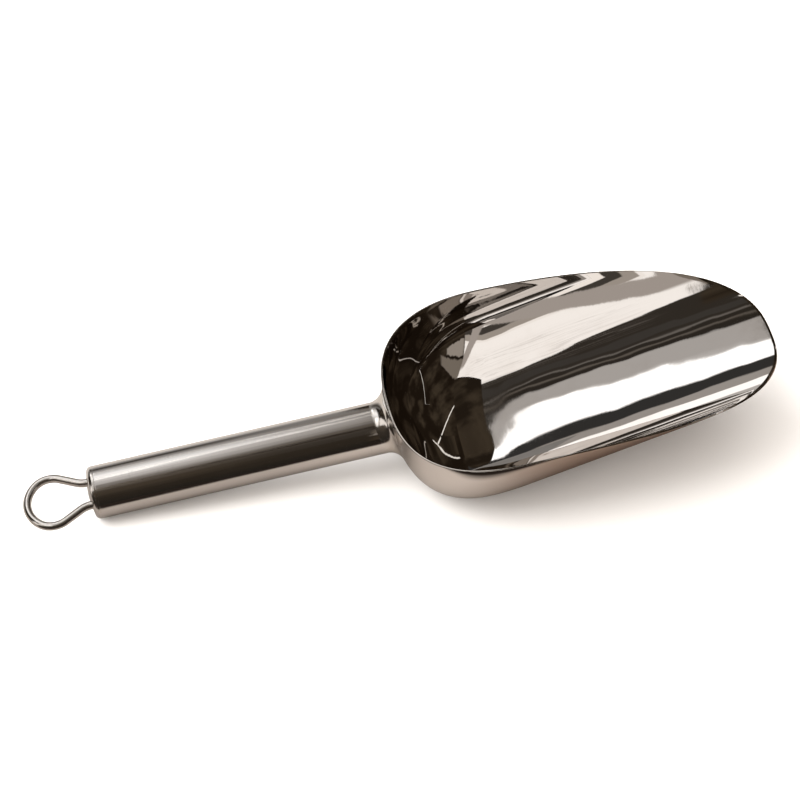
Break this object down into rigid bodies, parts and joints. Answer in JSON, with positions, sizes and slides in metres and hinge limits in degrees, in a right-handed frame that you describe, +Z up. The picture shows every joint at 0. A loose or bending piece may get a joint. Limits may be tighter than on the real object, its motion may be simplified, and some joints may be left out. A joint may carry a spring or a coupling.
{
  "type": "ice scoop",
  "caption": "Polished stainless bar scoop: a round-backed drawn bowl with a trimmed, rounded lip, welded to a capped tube handle with a bent wire hanging loop.",
  "frame": {"origin": "centre of the scoop's footprint box on the table top, with the scoop lying at rest on its heel and its handle's tail", "axes": "+X towards the bowl's mouth, +Y across the scoop, +Z up; the scoop is mirror symmetric about the XZ plane and the handle's axis rises 5.3 degrees towards the bowl"},
  "size_m": [0.2716, 0.0844, 0.0385],
  "materials": {
    "polished_sheet": "mirror polished stainless sheet",
    "polished_tube": "mirror polished stainless tube",
    "polished_cap": "polished stainless pressing",
    "polished_weld": "weld ground and polished flush",
    "drawn_wire": "polished stainless wire",
    "raw_weld": "unpolished weld metal"
  },
  "bodies": {
    "root": {"scoop_bowl": "polished_sheet", "handle_tube": "polished_tube", "neck_fillet_weld": "polished_weld", "end_cap": "polished_cap", "cap_seam_weld": "polished_weld", "hanging_loop": "drawn_wire", "loop_tack_weld_left": "raw_weld", "loop_tack_weld_right": "raw_weld"}
  },
  "joints": []
}
